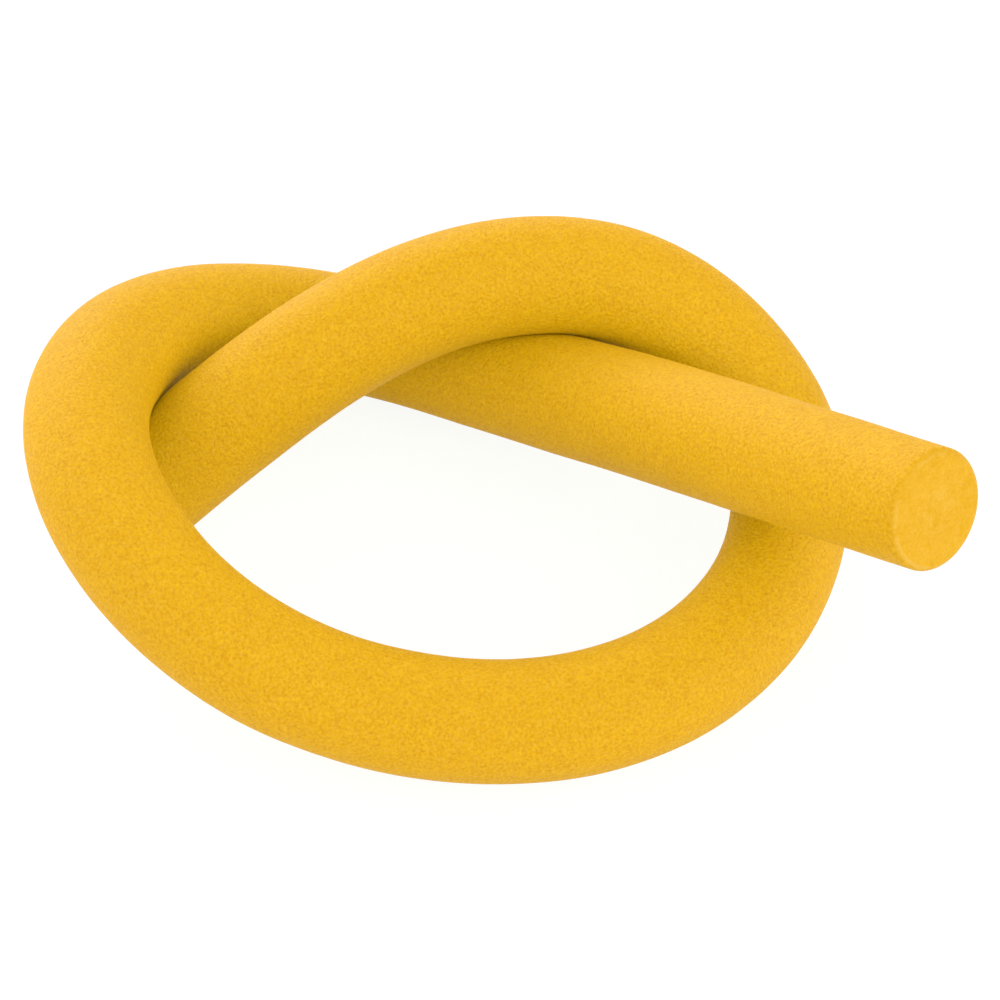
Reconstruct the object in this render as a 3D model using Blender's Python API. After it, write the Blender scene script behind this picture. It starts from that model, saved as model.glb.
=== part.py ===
"""A foam pool noodle, tied in one loose overhand knot and laid on the floor.

The noodle is one solid round length of closed-cell foam with a flat cut at each end. Its middle line is a
smooth curve through a few stations, and its thickness varies a little from one station to the next. The
foam is pressed flat where two strands touch, and it is cut flat where it lies on the floor.
"""
import math

import bmesh
import bpy
import numpy as np

# Driving sizes, in metres
NOODLE_DIAMETER = 0.063
KNOT_WIDTH = 0.424  # from left to right, along the middle line
KNOT_DEPTH = 0.276  # from front to back, along the middle line
RIM_ROUNDING = 0.002  # radius of the edge round each cut end
FLOOR_PRESS = 0.0005  # how deep the foam is flattened where it lies on the floor
STRAND_GAP = 0.0008  # clearance kept between two strands that press together

# Fineness of the surface, in counts
RINGS = 124
SIDES = 28
RIM_STEPS = 3
CURVE_STEPS = 2400
SETTLE_PASSES = 6

# Stations of the middle line, from the tip in view to the hidden tip: across in half widths of the knot, back
# in half depths, lift in diameters above a noodle that lies on the floor, and thickness in diameters.
ROUTE_SHARES = [
    (1.000, -0.72, 1.86, 0.985),  # tip in view, raised
    (0.675, -0.22, 1.26, 1.015),  # over the right side of the loop
    (0.350, 0.28, 0.62, 1.010),
    (0.000, 0.75, 0.00, 1.000),  # under the bridge
    (-0.470, 1.00, 0.04, 1.000),  # back, on the floor
    (-0.895, 0.68, 0.68, 1.010),
    (-0.990, -0.08, 1.02, 1.025),  # left, over the hidden tail
    (-0.735, -0.70, 0.64, 1.000),
    (-0.260, -0.95, 0.06, 0.995),  # front
    (0.275, -0.91, 0.02, 1.000),  # front right, on the floor
    (0.635, -0.41, 0.00, 0.985),
    (0.705, 0.34, 0.22, 0.995),  # right, under the raised tip
    (0.355, 0.87, 0.82, 0.995),
    (-0.120, 0.79, 1.02, 0.995),  # top of the bridge
    (-0.545, 0.45, 0.68, 1.020),
    (-0.920, 0.15, -0.08, 1.005),  # hidden tip, on the floor
]
RESTING_STATIONS = [(3, 4), (9, 10), (15,)]  # each group lies on the floor at its lowest point
APART_SHARE = 2.5  # in diameters along the noodle, from where two stretches count as two strands

FOAM_YELLOW = (0.905, 0.462, 0.0144, 1.0)


def clear_scene():
    for item in list(bpy.data.objects):
        bpy.data.objects.remove(item)


def route_stations():
    """Rows of place and radius in metres, with the floor at height zero."""
    radius = NOODLE_DIAMETER / 2
    stations = np.array(ROUTE_SHARES) * (KNOT_WIDTH / 2, KNOT_DEPTH / 2, NOODLE_DIAMETER, radius)
    stations[:, 2] += radius
    return stations


def natural_spline(stations):
    """Rows of place and radius on the curve that an evenly stiff rod takes through the stations, ends free."""
    chords = np.linalg.norm(np.diff(stations[:, :3], axis=0), axis=1)
    knots = np.concatenate([[0], np.cumsum(chords)])
    count = len(stations)
    system = np.eye(count)
    slopes = np.zeros(stations.shape)
    for k in range(1, count - 1):
        before, after = chords[k - 1], chords[k]
        system[k, k - 1 : k + 2] = before, 2 * (before + after), after
        rise = (stations[k + 1] - stations[k]) / after - (stations[k] - stations[k - 1]) / before
        slopes[k] = 6 * rise
    bends = np.linalg.solve(system, slopes)

    at = np.linspace(0, knots[-1], CURVE_STEPS)
    span = np.clip(np.searchsorted(knots, at) - 1, 0, count - 2)
    width = chords[span, None]
    ahead = (at - knots[span])[:, None] / width
    behind = 1 - ahead
    curve = behind * stations[span] + ahead * stations[span + 1]
    curve += (behind**3 - behind) * bends[span] * width**2 / 6
    curve += (ahead**3 - ahead) * bends[span + 1] * width**2 / 6
    return curve


def distances_along(curve):
    steps = np.linalg.norm(np.diff(curve[:, :3], axis=0), axis=1)
    return np.concatenate([[0], np.cumsum(steps)])


def ring_places(length):
    """Distance along the noodle of each ring, and how much the rounded rim at both ends narrows its radius."""
    turns = np.linspace(math.pi / 2, 0, RIM_STEPS + 1)
    rim_at = RIM_ROUNDING * (1 - np.sin(turns))
    rim_inset = RIM_ROUNDING * (1 - np.cos(turns))
    body_at = np.linspace(RIM_ROUNDING, length - RIM_ROUNDING, RINGS)[1:-1]
    at = np.concatenate([rim_at, body_at, (length - rim_at)[::-1]])
    insets = np.concatenate([rim_inset, np.zeros(len(body_at)), rim_inset[::-1]])
    return at, insets


def along(curve, at):
    """Middle points, directions and radii at the given distances along the curve."""
    distance = distances_along(curve)
    heading = np.gradient(curve[:, :3], distance, axis=0)
    middles = np.stack([np.interp(at, distance, curve[:, k]) for k in range(3)], axis=1)
    headings = np.stack([np.interp(at, distance, heading[:, k]) for k in range(3)], axis=1)
    headings /= np.linalg.norm(headings, axis=1, keepdims=True)
    return middles, headings, np.interp(at, distance, curve[:, 3])


def ring_directions(headings):
    """Outward directions of each ring's points, carried along the noodle without twist."""
    side = np.cross(headings[0], (0, 0, 1))
    sides = []
    for heading in headings:
        side = side - heading * (side @ heading)
        side = side / np.linalg.norm(side)
        sides.append(side)
    sides = np.array(sides)
    uppers = np.cross(sides, headings)
    angles = np.linspace(0, 2 * math.pi, SIDES, endpoint=False)[:, None]
    return np.cos(angles) * sides[:, None, :] + np.sin(angles) * uppers[:, None, :]


def pressed_rings(curve):
    """Distances and points of the rings. Each strand keeps to its own side of the plane midway to any other."""
    at, insets = ring_places(distances_along(curve)[-1])
    middles, headings, radii = along(curve, at)
    outward = ring_directions(headings)
    reach = np.repeat((radii - insets)[:, None], SIDES, axis=1)
    for ring, middle in enumerate(middles):
        others = middles[np.abs(at - at[ring]) > APART_SHARE * NOODLE_DIAMETER]
        to_others = others - middle
        distances = np.linalg.norm(to_others, axis=1)
        facing = outward[ring] @ (to_others / distances[:, None]).T
        room = (distances - STRAND_GAP) / 2
        limits = np.where(facing > 0, room / np.maximum(facing, 1e-9), np.inf)
        reach[ring] = np.minimum(reach[ring], limits.min(axis=1))
    return at, middles[:, None, :] + outward * reach[:, :, None]


def settle(stations):
    """Lowers or lifts each resting group of stations until the foam there is pressed by FLOOR_PRESS."""
    for _ in range(SETTLE_PASSES):
        at, rings = pressed_rings(natural_spline(stations))
        chords = np.linalg.norm(np.diff(stations[:, :3], axis=0), axis=1)
        knots = np.concatenate([[0], np.cumsum(chords)]) / chords.sum() * at[-1]
        for group in RESTING_STATIONS:
            first = knots[max(group[0] - 1, 0)]
            last = knots[min(group[-1] + 1, len(stations) - 1)]
            near = (at >= first) & (at <= last)
            lowest = rings[near, :, 2].min()
            stations[list(group), 2] -= lowest + FLOOR_PRESS
    return natural_spline(stations)


def least_strand_gap(rings, at):
    """Least distance between points of two strands, taken on ring points and on the points midway to the next."""
    between = (rings[:-1] + rings[1:] + np.roll(rings, 1, axis=1)[:-1] + np.roll(rings, 1, axis=1)[1:]) / 4
    points = np.concatenate([rings.reshape(-1, 3), between.reshape(-1, 3)])
    places = np.concatenate([np.repeat(at, SIDES), np.repeat((at[:-1] + at[1:]) / 2, SIDES)])
    least = np.inf
    for point, place in zip(points, places):
        apart = np.abs(places - place) > APART_SHARE * NOODLE_DIAMETER
        squares = ((points[apart] - point) ** 2).sum(axis=1)
        least = min(least, squares.min())
    return math.sqrt(least)


def foam_material():
    material = bpy.data.materials.new("foam_yellow")
    material.use_nodes = True
    shader = material.node_tree.nodes["Principled BSDF"]
    shader.inputs["Base Color"].default_value = FOAM_YELLOW
    shader.inputs["Roughness"].default_value = 0.85
    shader.inputs["Metallic"].default_value = 0.0
    return material


def noodle_mesh(rings):
    """Closed tube over the rings with a flat face at each end, cut flat at floor height."""
    bm = bmesh.new()
    loops = [[bm.verts.new(point) for point in ring] for ring in rings]
    for loop, following in zip(loops, loops[1:]):
        for k in range(SIDES):
            after = (k + 1) % SIDES
            bm.faces.new((loop[k], loop[after], following[after], following[k]))
    bm.faces.new(loops[0][::-1])
    bm.faces.new(loops[-1])
    bmesh.ops.recalc_face_normals(bm, faces=bm.faces)

    everything = bm.verts[:] + bm.edges[:] + bm.faces[:]
    cut = bmesh.ops.bisect_plane(bm, geom=everything, plane_co=(0, 0, 0), plane_no=(0, 0, -1), clear_outer=True)
    rims = [item for item in cut["geom_cut"] if isinstance(item, bmesh.types.BMEdge)]
    bmesh.ops.edgeloop_fill(bm, edges=rims)
    bmesh.ops.recalc_face_normals(bm, faces=bm.faces)

    mesh = bpy.data.meshes.new("foam_noodle")
    bm.to_mesh(mesh)
    bm.free()
    mesh.shade_smooth()
    mesh.set_sharp_from_angle(angle=math.radians(40))
    return mesh


def centre_on_origin(mesh):
    """Moves the mesh sideways until its box is centred on the origin."""
    points = np.array([vertex.co for vertex in mesh.vertices])
    middle = (points.min(axis=0) + points.max(axis=0)) / 2
    for vertex in mesh.vertices:
        vertex.co.x -= middle[0]
        vertex.co.y -= middle[1]


def make_noodle():
    curve = settle(route_stations())
    at, rings = pressed_rings(curve)
    mesh = noodle_mesh(rings)
    centre_on_origin(mesh)
    mesh.materials.append(foam_material())
    noodle = bpy.data.objects.new("foam_noodle", mesh)
    bpy.context.scene.collection.objects.link(noodle)
    print(f"noodle length: {at[-1] * 1000:.0f} mm")
    print(f"least gap between strands: {least_strand_gap(rings, at) * 1000:.2f} mm")


clear_scene()
make_noodle()
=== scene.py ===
"""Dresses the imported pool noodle: a solid foam noodle tied in one loose overhand knot, on a pale floor."""
import math

import bpy
import numpy as np
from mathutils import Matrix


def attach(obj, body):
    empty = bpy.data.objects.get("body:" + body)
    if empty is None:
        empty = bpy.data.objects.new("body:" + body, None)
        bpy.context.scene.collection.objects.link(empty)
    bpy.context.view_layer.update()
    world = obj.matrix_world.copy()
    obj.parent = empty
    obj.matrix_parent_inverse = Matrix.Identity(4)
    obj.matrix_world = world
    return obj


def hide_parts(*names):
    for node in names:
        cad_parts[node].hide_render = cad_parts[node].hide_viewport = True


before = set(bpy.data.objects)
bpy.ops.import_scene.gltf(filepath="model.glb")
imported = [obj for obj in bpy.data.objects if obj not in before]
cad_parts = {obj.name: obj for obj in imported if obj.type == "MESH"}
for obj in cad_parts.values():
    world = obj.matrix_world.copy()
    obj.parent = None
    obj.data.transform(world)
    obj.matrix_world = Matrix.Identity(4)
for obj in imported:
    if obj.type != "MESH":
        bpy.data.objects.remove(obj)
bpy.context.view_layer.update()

# The foam noodle.
# One solid round length of closed-cell polyethylene foam, coloured right through. It leaves the die as a
# long straight rod, is sawn square at both ends, and is then tied by hand in one loose overhand knot.
RIM_ROUNDING = 0.004  # radius of the edge round each sawn end
SWELL_SIZE = 0.045  # slow unevenness of the thickness
SWELL_HEIGHT = 0.0007
DIMPLE_SIZE = 0.0075  # fine dimples in the skin
DIMPLE_HEIGHT = 0.0002

# Fineness of the mesh, in counts
LINE_POINTS = 1600
SIDES = 128
BODY_ROWS = 740
FACE_ROWS = 10
RIM_ROWS = 6

# The middle line from the raised end to the tucked-in end: across, back, up, and the foam's radius there
ROUTE = np.array([
    (0.2182, -0.1033, 0.1518, 0.03090),  # raised end
    (0.1486, -0.0317, 0.1109, 0.03197),  # over the right side of the loop
    (0.0797, 0.0378, 0.0710, 0.03242),
    (0.0055, 0.1024, 0.0355, 0.03180),  # under the bridge
    (-0.0942, 0.1367, 0.0378, 0.03150),  # back, on the floor
    (-0.1843, 0.0925, 0.0743, 0.03182),
    (-0.2044, -0.0124, 0.0958, 0.03229),  # left, over the tucked-in end
    (-0.1504, -0.0979, 0.0718, 0.03150),
    (-0.0497, -0.1324, 0.0353, 0.03134),  # front
    (0.0638, -0.1269, 0.0319, 0.03150),  # front right, on the floor
    (0.1401, -0.0579, 0.0306, 0.03103),
    (0.1549, 0.0456, 0.0454, 0.03134),  # right, under the raised end
    (0.0807, 0.1182, 0.0828, 0.03194),
    (-0.0200, 0.1075, 0.0956, 0.03164),  # top of the bridge
    (-0.1101, 0.0608, 0.0743, 0.03213),
    (-0.1896, 0.0194, 0.0256, 0.03166),  # tucked-in end, on the floor
])


def springy_curve(stations, count):
    """Points and radii on the curve that an evenly stiff rod takes through the stations, its ends free."""
    chords = np.linalg.norm(np.diff(stations[:, :3], axis=0), axis=1)
    knots = np.concatenate([[0], np.cumsum(chords)])
    last = len(stations) - 1
    system = np.eye(last + 1)
    slopes = np.zeros(stations.shape)
    for k in range(1, last):
        system[k, k - 1 : k + 2] = chords[k - 1], 2 * (chords[k - 1] + chords[k]), chords[k]
        ahead = (stations[k + 1] - stations[k]) / chords[k]
        behind = (stations[k] - stations[k - 1]) / chords[k - 1]
        slopes[k] = 6 * (ahead - behind)
    bends = np.linalg.solve(system, slopes)
    at = np.linspace(0, knots[-1], count)
    span = np.clip(np.searchsorted(knots, at) - 1, 0, last - 1)
    width = chords[span, None]
    past = (at - knots[span])[:, None] / width
    left = 1 - past
    straight = left * stations[span] + past * stations[span + 1]
    bent = (left**3 - left) * bends[span] + (past**3 - past) * bends[span + 1]
    return straight + bent * width**2 / 6


def distances_along(points):
    return np.concatenate([[0], np.cumsum(np.linalg.norm(np.diff(points[:, :3], axis=0), axis=1))])


middle_line = springy_curve(ROUTE, LINE_POINTS)
line_at = distances_along(middle_line)
noodle_length = float(line_at[-1])


def link(tree, value, socket):
    """Joins a socket to a value, which is another socket or a number or vector."""
    if isinstance(value, bpy.types.NodeSocket):
        tree.links.new(value, socket)
    else:
        socket.default_value = value


def maths(tree, operation, *values):
    node = tree.nodes.new("ShaderNodeMath")
    node.operation = operation
    for value, socket in zip(values, node.inputs):
        link(tree, value, socket)
    return node.outputs[0]


def limited(tree, value, least, most):
    return maths(tree, "MINIMUM", maths(tree, "MAXIMUM", value, least), most)


def vectors(tree, operation, *values):
    node = tree.nodes.new("ShaderNodeVectorMath")
    node.operation = operation
    for value, socket in zip(values, node.inputs):
        link(tree, value, socket)
    return node.outputs[0]


def scaled(tree, vector, factor):
    node = tree.nodes.new("ShaderNodeVectorMath")
    node.operation = "SCALE"
    link(tree, vector, node.inputs["Vector"])
    link(tree, factor, node.inputs["Scale"])
    return node.outputs["Vector"]


def uneven(tree, place, size, seed, detail):
    """Smooth random rise and fall about zero, with lumps of the given size."""
    node = tree.nodes.new("ShaderNodeTexNoise")
    node.noise_dimensions = "4D"
    node.normalize = True
    link(tree, place, node.inputs["Vector"])
    link(tree, seed, node.inputs["W"])
    link(tree, maths(tree, "DIVIDE", 1.0, size), node.inputs["Scale"])
    link(tree, detail, node.inputs["Detail"])
    return maths(tree, "SUBTRACT", node.outputs[0], 0.5)  # the noise itself lies about a half


def named_attribute(tree, name):
    node = tree.nodes.new("GeometryNodeInputNamedAttribute")
    node.data_type = "FLOAT"
    node.inputs["Name"].default_value = name
    return node.outputs["Attribute"]


def stored(tree, geometry, name, value, kind, domain):
    node = tree.nodes.new("GeometryNodeStoreNamedAttribute")
    node.data_type = kind
    node.domain = domain
    node.inputs["Name"].default_value = name
    link(tree, geometry, node.inputs["Geometry"])
    link(tree, value, node.inputs["Value"])
    return node.outputs["Geometry"]


def with_material(tree, geometry, material, selection=True):
    node = tree.nodes.new("GeometryNodeSetMaterial")
    link(tree, geometry, node.inputs["Geometry"])
    link(tree, selection, node.inputs["Selection"])
    link(tree, material, node.inputs["Material"])
    return node.outputs[0]


# Rim values run from 0 in the middle of a sawn end to 1 where its edge starts to turn, and 2 along the side
SKIN_STARTS = 1.7
WELD_DISTANCE = 1e-5  # points closer than this are joined


def foam_rod_tree():
    """Node tree that wraps a closed round rod about a curve that carries its radius."""
    tree = bpy.data.node_groups.new("foam rod", "GeometryNodeTree")
    tree.interface.new_socket("Middle Line", in_out="INPUT", socket_type="NodeSocketGeometry")
    sizes = [
        ("Length", noodle_length),
        ("Rim Rounding", RIM_ROUNDING),
        ("Swell Size", SWELL_SIZE),
        ("Swell Height", SWELL_HEIGHT),
        ("Dimple Size", DIMPLE_SIZE),
        ("Dimple Height", DIMPLE_HEIGHT),
        ("Seed", 4.0),
    ]
    for name, value in sizes:
        socket = tree.interface.new_socket(name, in_out="INPUT", socket_type="NodeSocketFloat")
        socket.default_value = value
    for name in ("Skin", "Cut Foam"):
        tree.interface.new_socket(name, in_out="INPUT", socket_type="NodeSocketMaterial")
    tree.interface.new_socket("Rod", in_out="OUTPUT", socket_type="NodeSocketGeometry")
    given = tree.nodes.new("NodeGroupInput").outputs
    length, rounding, seed = given["Length"], given["Rim Rounding"], given["Seed"]

    rows = BODY_ROWS + 2 * (FACE_ROWS + RIM_ROWS)
    sheet = tree.nodes.new("GeometryNodeMeshGrid")
    sheet.inputs["Vertices X"].default_value = rows + 1
    sheet.inputs["Vertices Y"].default_value = SIDES + 1
    index = tree.nodes.new("GeometryNodeInputIndex").outputs[0]
    past_index = maths(tree, "ADD", index, 0.5)  # clear of any rounding error
    row = maths(tree, "FLOOR", maths(tree, "DIVIDE", past_index, SIDES + 1))
    column = maths(tree, "SUBTRACT", index, maths(tree, "MULTIPLY", row, SIDES + 1))
    angle = maths(tree, "MULTIPLY", column, -2 * math.pi / SIDES)  # backwards, so that faces look outward

    # Each end: rows over the sawn face, then over the rounded rim, then along the body
    from_end = maths(tree, "MINIMUM", row, maths(tree, "SUBTRACT", rows, row))
    half = maths(tree, "SIGN", maths(tree, "SUBTRACT", row, rows / 2))
    over_face = maths(tree, "MINIMUM", maths(tree, "DIVIDE", from_end, FACE_ROWS), 1)
    over_rim = maths(tree, "DIVIDE", maths(tree, "SUBTRACT", from_end, FACE_ROWS), RIM_ROWS)
    over_rim = limited(tree, over_rim, 0, 1)
    down_body = maths(tree, "DIVIDE", maths(tree, "SUBTRACT", row, FACE_ROWS + RIM_ROWS), BODY_ROWS)
    down_body = limited(tree, down_body, 0, 1)
    turn = maths(tree, "MULTIPLY", over_rim, math.pi / 2)
    outward = maths(tree, "SINE", turn)
    endward = maths(tree, "MULTIPLY", maths(tree, "COSINE", turn), half)
    body_length = maths(tree, "SUBTRACT", length, maths(tree, "MULTIPLY", rounding, 2))
    along = maths(tree, "MULTIPLY_ADD", down_body, body_length, rounding)
    along = maths(tree, "MULTIPLY_ADD", endward, rounding, along)

    line = tree.nodes.new("GeometryNodeSampleCurve")
    line.mode = "LENGTH"
    line.data_type = "FLOAT"
    line.use_all_curves = False
    link(tree, given["Middle Line"], line.inputs["Curves"])
    link(tree, tree.nodes.new("GeometryNodeInputRadius").outputs[0], line.inputs["Value"])
    link(tree, along, line.inputs["Length"])
    across = line.outputs["Normal"]
    beside = vectors(tree, "CROSS_PRODUCT", line.outputs["Tangent"], across)
    radial = vectors(
        tree,
        "ADD",
        scaled(tree, across, maths(tree, "COSINE", angle)),
        scaled(tree, beside, maths(tree, "SINE", angle)),
    )
    flat_radius = maths(tree, "SUBTRACT", line.outputs["Value"], rounding)
    radius = maths(tree, "MULTIPLY", flat_radius, over_face)
    radius = maths(tree, "MULTIPLY_ADD", outward, rounding, radius)
    place = vectors(tree, "ADD", line.outputs["Position"], scaled(tree, radial, radius))

    # The skin's slow swelling and its fine dimples, square to the surface
    lengthwise = scaled(tree, line.outputs["Tangent"], endward)
    facing = vectors(tree, "ADD", scaled(tree, radial, outward), lengthwise)
    swell = uneven(tree, place, given["Swell Size"], seed, detail=0)
    swell = maths(tree, "MULTIPLY", swell, given["Swell Height"])
    other_seed = maths(tree, "ADD", seed, 9)  # so that the dimples don't follow the swell
    dimples = uneven(tree, place, given["Dimple Size"], other_seed, detail=1)
    height = maths(tree, "MULTIPLY_ADD", dimples, given["Dimple Height"], swell)
    place = vectors(tree, "ADD", place, scaled(tree, facing, height))

    geometry = stored(tree, sheet.outputs["Mesh"], "UVMap", sheet.outputs["UV Map"], "FLOAT2", "CORNER")
    geometry = stored(tree, geometry, "along", along, "FLOAT", "POINT")
    geometry = stored(tree, geometry, "rim", maths(tree, "ADD", over_face, over_rim), "FLOAT", "POINT")
    moved = tree.nodes.new("GeometryNodeSetPosition")
    link(tree, geometry, moved.inputs["Geometry"])
    link(tree, place, moved.inputs["Position"])
    closed = tree.nodes.new("GeometryNodeMergeByDistance")
    closed.inputs["Distance"].default_value = WELD_DISTANCE
    link(tree, moved.outputs[0], closed.inputs["Geometry"])
    smooth = tree.nodes.new("GeometryNodeSetShadeSmooth")
    link(tree, closed.outputs[0], smooth.inputs["Geometry"])
    whole = tree.nodes.new("GeometryNodeRealizeInstances")
    link(tree, smooth.outputs[0], whole.inputs[0])
    skinned = with_material(tree, whole.outputs[0], given["Skin"])
    sawn = maths(tree, "LESS_THAN", named_attribute(tree, "rim"), SKIN_STARTS)
    finished = with_material(tree, skinned, given["Cut Foam"], sawn)
    link(tree, finished, tree.nodes.new("NodeGroupOutput").inputs["Rod"])
    return tree


def new_group(name, inputs, outputs):
    """A shader node group with the given named inputs and outputs."""
    group = bpy.data.node_groups.new(name, "ShaderNodeTree")
    for in_out, sockets in (("INPUT", inputs), ("OUTPUT", outputs)):
        for label, kind in sockets:
            group.interface.new_socket(label, in_out=in_out, socket_type=kind)
    return group, group.nodes.new("NodeGroupInput").outputs, group.nodes.new("NodeGroupOutput").inputs


def banded(tree, value, low, full, high, gone):
    """1 while the value is between full and high, fading to 0 at low and at gone."""
    fades = []
    for start, end in ((low, full), (gone, high)):
        fade = tree.nodes.new("ShaderNodeMapRange")
        fade.interpolation_type = "SMOOTHSTEP"
        link(tree, value, fade.inputs["Value"])
        link(tree, start, fade.inputs["From Min"])
        link(tree, end, fade.inputs["From Max"])
        fades.append(fade.outputs[0])
    return maths(tree, "MULTIPLY", *fades)


def blended(tree, share, first, second):
    node = tree.nodes.new("ShaderNodeMix")
    node.data_type = "RGBA"
    node.clamp_factor = False
    link(tree, share, node.inputs[0])
    link(tree, first, node.inputs[6])  # colour A
    link(tree, second, node.inputs[7])  # colour B
    return node.outputs[2]  # the mixed colour


# Sizes of the grain: a cell in metres, and the rest in cells
CELL_SIZE = 0.0016
SPECK_SIZE = 0.45
FLECK_SIZE = 0.9
CLOUD_SIZE = 4
PATCH_SIZE = 13
SPECK_WEIGHT = 0.15  # against the cells

# Rim values where a pale stretch starts, is full from, is full to, and is gone: over the rounded rim, where
# the pale is a painted highlight, and in the ripped-open middle of the cut
# Painted highlight: a pale band over the rounded rim of each sawn end
RIM_HIGHLIGHT_BAND = (1.08, 1.22, 1.36, 1.52)
TORN_MIDDLE = (-0.2, -0.1, 0.3, 0.62)
TORN_MIDDLE_SHARE = 0.35
# Paler colour of the cut's middle, also used for the painted rim highlight and the painted glints
TORN_AND_HIGHLIGHT_COLOUR = (0.92, 0.52, 0.05, 1)
PATCH_WEIGHT = 3.5  # how strongly the painted rim highlight comes and goes
LINE_SHARE = 0.45  # and about what share of its full strength
CLOUD_WEIGHT = 3  # how strongly the paler middle and the painted rim highlight come and go, in clouds
CLOUD_SHARE = 0.8  # and about what share
FLECK_WEIGHT = 1.2
LEAST_TORN = -0.12  # a dark fleck


def foam_grain_group():
    """Pebbled grain of blown foam: colour of each spot, from its hollows to its crowns, and its height.

    The saw leaves paler, ripped-open cells in the middle of the cut. A thin broken pale line round its edge
    is a painted highlight, where the rounded rim catches the light.
    Small flecks, pale and dark, lie all over: the dark ones are random tone, the pale ones painted glints.
    """
    group, given, made = new_group(
        "foam grain",
        [
            ("Place", "NodeSocketVector"),
            ("Rim", "NodeSocketFloat"),
            ("Cell Size", "NodeSocketFloat"),
            ("Contrast", "NodeSocketFloat"),
            ("Cloudiness", "NodeSocketFloat"),
            ("Hollow Colour", "NodeSocketColor"),
            ("Crown Colour", "NodeSocketColor"),
            ("Torn And Highlight Colour", "NodeSocketColor"),
        ],
        [("Colour", "NodeSocketColor"), ("Height", "NodeSocketFloat")],
    )
    place, cell = given["Place"], given["Cell Size"]
    cells = uneven(group, place, cell, seed=1, detail=1)
    specks = uneven(group, place, maths(group, "MULTIPLY", cell, SPECK_SIZE), seed=2, detail=0)
    clouds = uneven(group, place, maths(group, "MULTIPLY", cell, CLOUD_SIZE), seed=3, detail=1)
    patches = uneven(group, place, maths(group, "MULTIPLY", cell, PATCH_SIZE), seed=4, detail=0)
    flecks = uneven(group, place, maths(group, "MULTIPLY", cell, FLECK_SIZE), seed=5, detail=0)
    grain = maths(group, "MULTIPLY_ADD", specks, SPECK_WEIGHT, cells)
    shade = maths(group, "MULTIPLY_ADD", clouds, given["Cloudiness"], grain)
    shade = maths(group, "MULTIPLY_ADD", shade, given["Contrast"], 0.5)  # halfway from hollow to crown
    colour = blended(group, shade, given["Hollow Colour"], given["Crown Colour"])

    # Painted highlight: a broken pale line over the rounded rim of each sawn end
    line = banded(group, given["Rim"], *RIM_HIGHLIGHT_BAND)
    patches = maths(group, "MULTIPLY_ADD", patches, PATCH_WEIGHT, LINE_SHARE)
    line = maths(group, "MULTIPLY", line, maths(group, "MAXIMUM", patches, 0))
    middle = maths(group, "MULTIPLY", banded(group, given["Rim"], *TORN_MIDDLE), TORN_MIDDLE_SHARE)
    clouds = maths(group, "MULTIPLY_ADD", clouds, CLOUD_WEIGHT, CLOUD_SHARE)
    torn_and_highlights = maths(group, "MULTIPLY", maths(group, "MAXIMUM", line, middle), clouds)
    # Pale flecks are painted glints; dark flecks are random tone
    torn_and_highlights = limited(group, maths(group, "MULTIPLY_ADD", flecks, FLECK_WEIGHT, torn_and_highlights), LEAST_TORN, 1)
    link(group, blended(group, torn_and_highlights, colour, given["Torn And Highlight Colour"]), made["Colour"])
    link(group, grain, made["Height"])
    return group


FOAM_ROUGHNESS = 0.6
FOAM_SPECULAR = 0.23
PASSED_ON = (0.76, 0.76, 0.10, 1)  # colour that the foam gives to the light it throws on other surfaces


def foam_material(name, grain, hollow, crown, contrast, cloudiness, depth):
    material = bpy.data.materials.new(name)
    material.use_nodes = True
    tree = material.node_tree
    foam = tree.nodes["Principled BSDF"]
    rim = tree.nodes.new("ShaderNodeAttribute")
    rim.attribute_name = "rim"
    pattern = tree.nodes.new("ShaderNodeGroup")
    pattern.node_tree = grain
    link(tree, tree.nodes.new("ShaderNodeTexCoord").outputs["Object"], pattern.inputs["Place"])
    link(tree, rim.outputs["Fac"], pattern.inputs["Rim"])
    values = {
        "Cell Size": CELL_SIZE,
        "Contrast": contrast,
        "Cloudiness": cloudiness,
        "Hollow Colour": hollow,
        "Crown Colour": crown,
        "Torn And Highlight Colour": TORN_AND_HIGHLIGHT_COLOUR,
    }
    for label, value in values.items():
        link(tree, value, pattern.inputs[label])
    relief = tree.nodes.new("ShaderNodeBump")
    relief.inputs["Distance"].default_value = depth
    link(tree, pattern.outputs["Height"], relief.inputs["Height"])
    link(tree, relief.outputs["Normal"], foam.inputs["Normal"])

    # The light that the foam throws on is less orange than the foam, which keeps the creases yellow
    again = tree.nodes.new("ShaderNodeLightPath").outputs["Is Diffuse Ray"]
    link(tree, blended(tree, again, pattern.outputs["Colour"], PASSED_ON), foam.inputs["Base Color"])
    foam.inputs["Roughness"].default_value = FOAM_ROUGHNESS
    foam.inputs["Specular IOR Level"].default_value = FOAM_SPECULAR
    return material


grain = foam_grain_group()
skin = foam_material(
    "foam skin",
    grain,
    hollow=(0.817, 0.395, 0.0002, 1),
    crown=(0.935, 0.512, 0.0048, 1),
    contrast=2.8,
    cloudiness=0.2,
    depth=0.0010,
)
cut_foam = foam_material(
    "cut foam",
    grain,
    hollow=(0.860, 0.444, 0.0020, 1),
    crown=(0.903, 0.484, 0.0165, 1),
    contrast=2.6,
    cloudiness=1.0,
    depth=0.0006,
)


def middle_line_curve():
    curve = bpy.data.curves.new("middle line", "CURVE")
    curve.dimensions = "3D"
    curve.twist_mode = "MINIMUM"
    spline = curve.splines.new("POLY")
    spline.points.add(len(middle_line) - 1)
    spline.points.foreach_set("co", np.insert(middle_line[:, :3], 3, 1, axis=1).ravel())
    spline.points.foreach_set("radius", middle_line[:, 3])
    return bpy.data.objects.new("middle line", curve)


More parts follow.
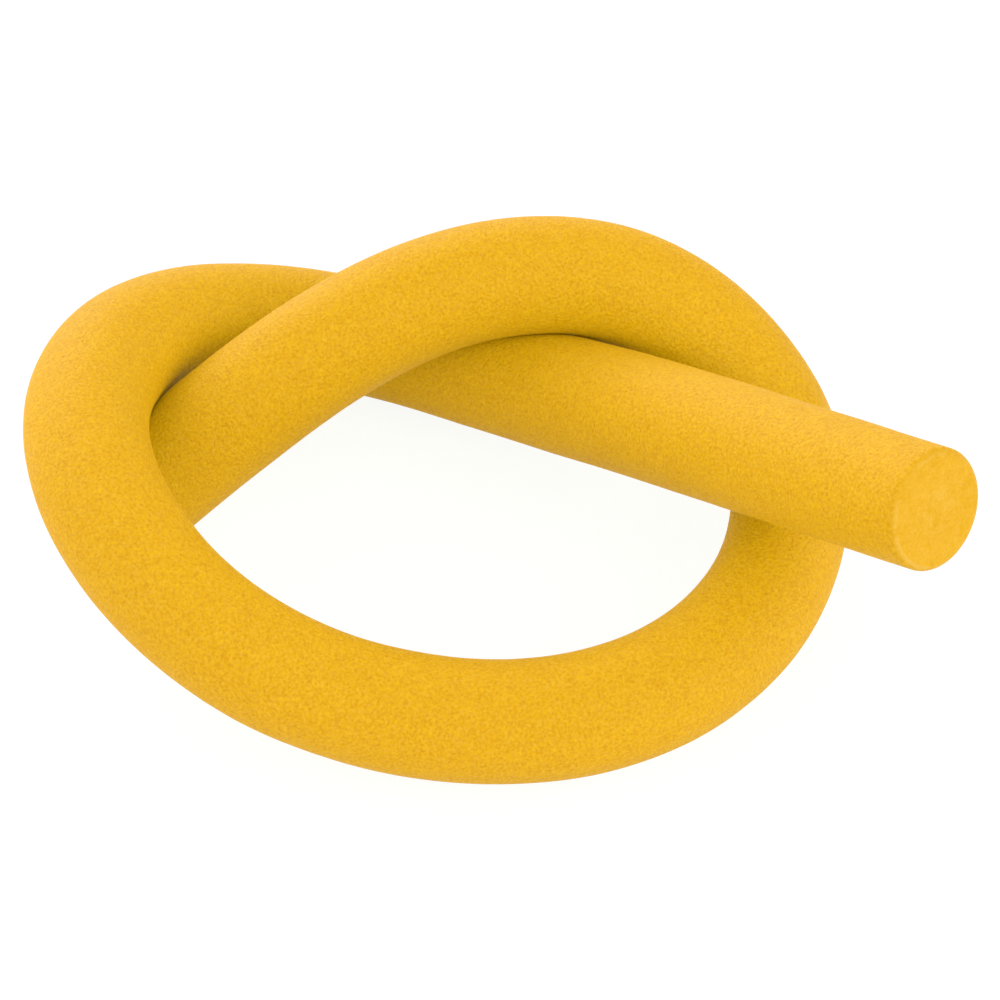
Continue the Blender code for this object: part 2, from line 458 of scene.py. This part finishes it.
def rod_from(curve, tree, settings):
    """Plain mesh object of the rod about the curve; the modifier is gone afterwards."""
    bpy.context.scene.collection.objects.link(curve)
    modifier = curve.modifiers.new("foam rod", "NODES")
    modifier.node_group = tree
    for item in tree.interface.items_tree:
        if item.in_out == "INPUT" and item.name in settings:
            modifier[item.identifier] = settings[item.name]
    built = curve.evaluated_get(bpy.context.evaluated_depsgraph_get())
    mesh = bpy.data.meshes.new_from_object(built)
    mesh.name = "noodle"
    mesh.materials.pop(index=0)  # the empty slot of the sheet that the rod was wrapped from
    curve.modifiers.remove(modifier)
    bpy.data.objects.remove(curve)
    rod = bpy.data.objects.new("noodle", mesh)
    bpy.context.scene.collection.objects.link(rod)
    return rod


PRESS_GAP = 0.0001  # what is left between two strands that press together
PRESS_BLEND = 0.0006  # how gradually the round side turns into the pressed flat
FLOOR_BLEND = 0.0008  # the same, where the foam lies on the floor
APART = 0.158  # along the noodle, from where two stretches count as two strands
OUT_OF_REACH = 1.0  # how far the foam may reach where no strand limits it
LINE_STEP = 2  # every second point of the middle line is looked at
POINTS_AT_ONCE = 4000
TINY = 1e-9  # keeps a divisor off zero


def least_smoothly(one, other, blend):
    """The lesser of the two, rounded off where they are within blend of each other."""
    near = np.maximum(blend - np.abs(one - other), 0) / blend
    return np.minimum(one, other) - near**2 * blend / 4


def press_together(mesh):
    """Flattens the foam where two strands press on each other, and where it lies on the floor."""
    count = len(mesh.vertices)
    points = np.empty(count * 3)
    mesh.vertices.foreach_get("co", points)
    points = points.reshape(-1, 3)
    along = np.empty(count)
    mesh.attributes["along"].data.foreach_get("value", along)
    centres = [np.interp(along, line_at, middle_line[:, column]) for column in range(3)]
    centres = np.stack(centres, axis=1)
    own = np.interp(along, line_at, middle_line[:, 3])
    reach = np.linalg.norm(points - centres, axis=1)
    facing = (points - centres) / np.maximum(reach, TINY)[:, None]
    others = middle_line[::LINE_STEP, :3]
    others_at = line_at[::LINE_STEP]
    others_radius = middle_line[::LINE_STEP, 3]
    limit = np.empty(count)
    for first in range(0, count, POINTS_AT_ONCE):
        part = slice(first, first + POINTS_AT_ONCE)
        away = others[None] - centres[part, None]
        distance = np.maximum(np.linalg.norm(away, axis=2), TINY)
        towards = np.einsum("nmk,nk->nm", away, facing[part]) / distance
        share = distance + (own[part, None] ** 2 - others_radius**2) / distance
        allowed = (share - PRESS_GAP) / 2 / np.maximum(towards, TINY)
        same = np.abs(others_at[None] - along[part, None]) < APART
        allowed = np.where(same | (towards <= 0), OUT_OF_REACH, allowed)
        limit[part] = np.minimum(allowed.min(axis=1), OUT_OF_REACH)
    reach = least_smoothly(reach, limit, PRESS_BLEND)
    points = centres + facing * reach[:, None]
    points[:, 2] = -least_smoothly(-points[:, 2], np.zeros(count), FLOOR_BLEND)
    points[:, 2] = np.maximum(points[:, 2], 0)
    mesh.vertices.foreach_set("co", points.ravel())
    mesh.update()


settings = {"Length": noodle_length, "Skin": skin, "Cut Foam": cut_foam}
noodle = rod_from(middle_line_curve(), foam_rod_tree(), settings)
press_together(noodle.data)
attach(noodle, "root")
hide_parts("foam_noodle")

# The floor: one flat sheet of pale matt studio paper, wide enough to fill the picture.
# Where nothing shades it, it photographs white, and it keeps the soft shadow under the noodle.
FLOOR_SIZE = 6.0
FLOOR_DROP = 0.0002  # below the noodle
PAPER_WHITE = (0.93, 0.93, 0.93, 1)
PAPER_ROUGHNESS = 0.9
GLOW = 1.1  # strength of the white that the camera sees
GLOW_SHARE = 0.8  # the rest is paper, which takes the shadow


def seen_straight(tree):
    """1 where the camera looks at the surface, also by way of a reflection or through glass."""
    ray = tree.nodes.new("ShaderNodeLightPath").outputs
    mirrored = maths(tree, "MAXIMUM", ray["Is Glossy Ray"], ray["Is Transmission Ray"])
    return maths(tree, "MAXIMUM", ray["Is Camera Ray"], mirrored)


def studio_white(name):
    material = bpy.data.materials.new(name)
    material.use_nodes = True
    tree = material.node_tree
    paper = tree.nodes["Principled BSDF"]
    paper.inputs["Base Color"].default_value = PAPER_WHITE
    paper.inputs["Roughness"].default_value = PAPER_ROUGHNESS
    paper.inputs["Specular IOR Level"].default_value = 0.0
    glow = tree.nodes.new("ShaderNodeEmission")
    glow.inputs["Strength"].default_value = GLOW
    mix = tree.nodes.new("ShaderNodeMixShader")
    link(tree, maths(tree, "MULTIPLY", seen_straight(tree), GLOW_SHARE), mix.inputs[0])
    link(tree, paper.outputs[0], mix.inputs[1])
    link(tree, glow.outputs[0], mix.inputs[2])
    link(tree, mix.outputs[0], tree.nodes["Material Output"].inputs["Surface"])
    return material


def floor_object():
    mesh = bpy.data.meshes.new("floor")
    half = FLOOR_SIZE / 2
    corners = [(-half, -half), (half, -half), (half, half), (-half, half)]
    mesh.from_pydata([(x, y, -FLOOR_DROP) for x, y in corners], [], [(0, 1, 2, 3)])
    mesh.materials.append(studio_white("studio white"))
    floor = bpy.data.objects.new("floor", mesh)
    bpy.context.scene.collection.objects.link(floor)
    return floor


floor_object()

# The light: four broad soft lamps and two smaller ones low down, all far off.
# Each has its azimuth from the right towards the back and its elevation, in degrees, then how narrow it is
# and its strength.
LAMPS = [
    (0, 30, 6, 2.06),  # right
    (135, 35, 6, 2.15),  # back left
    (225, 30, 6, 1.88),  # front left
    (315, 30, 6, 1.32),  # front right
    (110, 8, 24, 5.6),  # low behind
    (155, 4, 30, 1.6),  # low back left
]


def surround(lamps):
    world = bpy.data.worlds.new("surround")
    world.use_nodes = True
    tree = world.node_tree
    tree.nodes.clear()
    towards = tree.nodes.new("ShaderNodeTexCoord").outputs["Generated"]
    total = 0.0
    for azimuth, elevation, narrowness, strength in lamps:
        azimuth = math.radians(azimuth)
        elevation = math.radians(elevation)
        level = math.cos(elevation)
        middle = (level * math.cos(azimuth), level * math.sin(azimuth), math.sin(elevation))
        aim = tree.nodes.new("ShaderNodeVectorMath")
        aim.operation = "DOT_PRODUCT"
        link(tree, towards, aim.inputs[0])
        link(tree, middle, aim.inputs[1])
        glow = maths(tree, "POWER", maths(tree, "MAXIMUM", aim.outputs["Value"], 0), narrowness)
        total = maths(tree, "MULTIPLY_ADD", glow, strength, total)
    light = tree.nodes.new("ShaderNodeBackground")
    link(tree, total, light.inputs["Strength"])
    backdrop = tree.nodes.new("ShaderNodeBackground")
    for shade in (light, backdrop):
        shade.inputs["Color"].default_value = (1, 1, 1, 1)
    mix = tree.nodes.new("ShaderNodeMixShader")
    link(tree, seen_straight(tree), mix.inputs[0])
    link(tree, light.outputs[0], mix.inputs[1])
    link(tree, backdrop.outputs[0], mix.inputs[2])
    link(tree, mix.outputs[0], tree.nodes.new("ShaderNodeOutputWorld").inputs["Surface"])
    bpy.context.scene.world = world


surround(LAMPS)
bpy.context.scene.view_settings.view_transform = "Standard"

# The camera: a long lens about 2 m off, at the photograph's angle and frame.
# It looks straight back over the floor, without tilt to either side.
ELEVATION = math.radians(47.61)
DISTANCE = 1.9676
LENS = 130.7  # in millimetres, as is the sensor
SENSOR = 36
TARGET = (0.0064, 0.0425, 0.0)
lens = bpy.data.cameras.new("camera")
lens.lens = LENS
lens.sensor_width = SENSOR
camera = bpy.data.objects.new("camera", lens)
camera.location = (
    TARGET[0],
    TARGET[1] - DISTANCE * math.cos(ELEVATION),
    TARGET[2] + DISTANCE * math.sin(ELEVATION),
)
camera.rotation_euler = (math.pi / 2 - ELEVATION, 0, 0)
bpy.context.scene.collection.objects.link(camera)
bpy.context.scene.camera = camera
